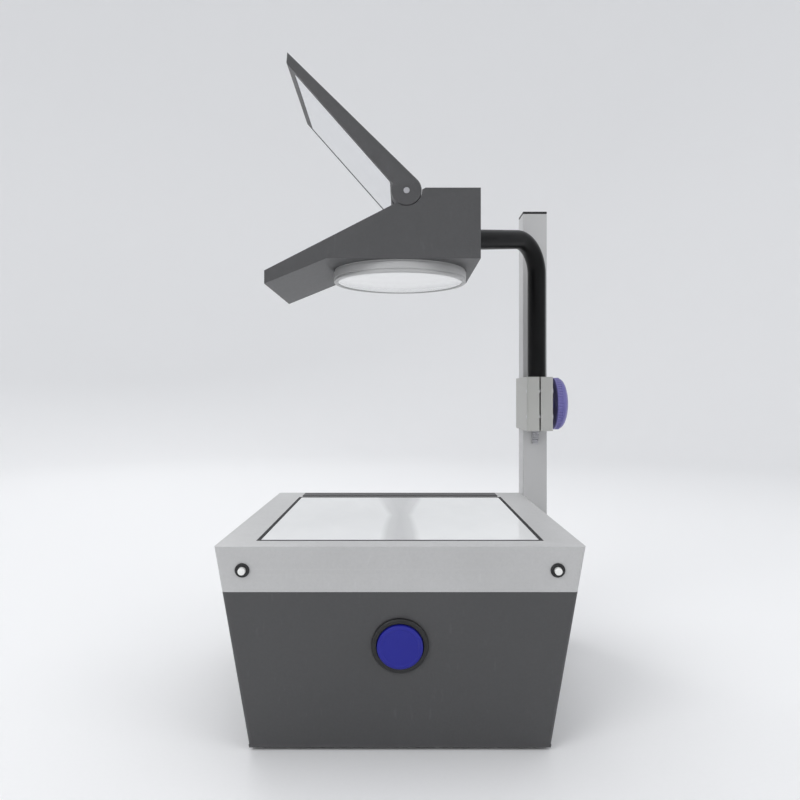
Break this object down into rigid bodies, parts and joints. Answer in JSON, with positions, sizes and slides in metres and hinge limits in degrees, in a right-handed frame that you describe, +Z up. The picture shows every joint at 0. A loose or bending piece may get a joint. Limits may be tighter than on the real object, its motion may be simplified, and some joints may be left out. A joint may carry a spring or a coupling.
{
  "type": "overhead projector",
  "caption": "Overhead projector: tapered lamp housing with a hinged glass stage, rear post with focusing carriage, swivel arm and head with a tilting mirror flap.",
  "frame": {"origin": "on the floor, below the centre of the stage glass and on the lens axis", "axes": "+Z up, +X to the right as seen from the front, +Y to the rear, where the post stands"},
  "size_m": [0.3813, 0.3501, 0.6628],
  "materials": {
    "housing_grey": "fine-textured moulded plastic",
    "black_plastic": "fine-textured moulded plastic",
    "black_rubber": "soft matt rubber",
    "rim_grey": "fine-textured moulded plastic",
    "lens_grey": "satin moulded plastic",
    "catch_white": "smooth moulded plastic",
    "button_blue": "semi-gloss moulded plastic",
    "knob_blue": "semi-gloss moulded plastic",
    "carriage_grey": "satin paint on a casting",
    "post_grey": "satin powder coat",
    "black_metal": "satin black powder coat",
    "bare_steel": "zinc-plated",
    "cast_alloy": "as cast",
    "brass": "machined",
    "copper": "enamelled winding",
    "ceramic": "glazed ceramic",
    "reflector": "polished",
    "clear_glass": "polished",
    "fresnel_plastic": "moulded with fine rings",
    "mirror": "polished"
  },
  "bodies": {
    "base": {"base_shell": "housing_grey", "base_pan": "housing_grey", "rubber_feet": "black_rubber", "pan_screws": "bare_steel", "left_vent_grille": "black_plastic", "rear_fan_guard": "black_plastic", "fan_housing": "housing_grey", "transformer_core": "bare_steel", "transformer_coil": "copper", "terminal_block": "black_plastic", "power_inlet": "black_plastic", "inlet_pins": "brass", "fuse_holder": "black_plastic", "lamp_bracket": "bare_steel", "lamp_socket": "ceramic", "lamp": "clear_glass", "lamp_reflector": "reflector", "condenser_holder": "bare_steel", "condenser_lens": "clear_glass", "power_button_bezel": "black_plastic", "switch_body": "housing_grey", "base_hinge_leaves": "black_metal", "stage_hinge_pins": "bare_steel", "post": "post_grey", "post_cap": "black_plastic", "post_brackets": "black_metal", "bracket_screws": "bare_steel", "focus_rack": "bare_steel"},
    "stage": {"stage_frame": "rim_grey", "glass_gasket": "black_rubber", "stage_glass": "clear_glass", "fresnel_lens": "fresnel_plastic", "fresnel_clips": "bare_steel", "hinge_cover": "black_plastic", "catch_bezels": "black_plastic", "stage_hinge_leaves": "black_metal"},
    "catch_left": {"catch_button_left": "catch_white"},
    "catch_right": {"catch_button_right": "catch_white"},
    "power_key": {"power_button": "button_blue"},
    "fan": {"fan_rotor": "black_plastic"},
    "carriage": {"carriage_housing": "carriage_grey", "clamp_screws": "bare_steel", "glide_pads": "catch_white", "thrust_washer": "catch_white"},
    "knob": {"focus_knob": "knob_blue", "pinion_shaft": "bare_steel", "pinion": "brass"},
    "arm": {"arm_tube": "black_metal", "arm_socket": "cast_alloy", "head_housing": "housing_grey", "head_cover_front": "housing_grey", "head_cover_rear": "housing_grey", "lens_barrel": "lens_grey", "lower_lens": "clear_glass", "upper_lens": "clear_glass", "lens_retainer": "lens_grey", "window_glass": "clear_glass", "mirror_hinge_pin": "bare_steel"},
    "mirror": {"mirror_flap": "housing_grey", "mirror_glass": "mirror"}
  },
  "joints": [
    {"name": "focus_slide", "type": "slide", "parent": "base", "child": "carriage", "axis": [0, 0, 1], "range_m": [-0.04, 0.1]},
    {"name": "focus_knob", "type": "hinge", "parent": "carriage", "child": "knob", "pos_m": [0.18, 0.14535, 0.312], "axis": [1, 0, 0], "range_deg": [-820, 330]},
    {"name": "arm_swivel", "type": "hinge", "parent": "carriage", "child": "arm", "pos_m": [0.1755, 0.123, 0.32], "axis": [0, 0, 1], "range_deg": [-25, 90]},
    {"name": "mirror_tilt", "type": "hinge", "parent": "arm", "child": "mirror", "pos_m": [0.0065, 0, 0.5261], "axis": [0, -1, 0], "range_deg": [-12, 75.5]},
    {"name": "stage_lift", "type": "hinge", "parent": "base", "child": "stage", "pos_m": [0, 0.1705, 0.1498], "axis": [-1, 0, 0], "range_deg": [0, 30]},
    {"name": "catch_left_press", "type": "slide", "parent": "stage", "child": "catch_left", "axis": [0, 0.9912, 0.1325], "range_m": [0, 0.003], "stiffness_N_per_m": 300, "springref_m": -0.003},
    {"name": "catch_right_press", "type": "slide", "parent": "stage", "child": "catch_right", "axis": [0, 0.9912, 0.1325], "range_m": [0, 0.003], "stiffness_N_per_m": 300, "springref_m": -0.003},
    {"name": "power_press", "type": "slide", "parent": "base", "child": "power_key", "axis": [0, 0.9912, 0.1325], "range_m": [0, 0.0035], "stiffness_N_per_m": 400, "springref_m": -0.004},
    {"name": "fan_spin", "type": "hinge", "parent": "base", "child": "fan", "pos_m": [-0.055, 0.15382, 0.07], "axis": [0, 0.9912, -0.1325], "continuous": true}
  ],
  "couplings": [
    {"joint": "focus_knob", "follows": "focus_slide", "rad_per_m": -142.86}
  ]
}
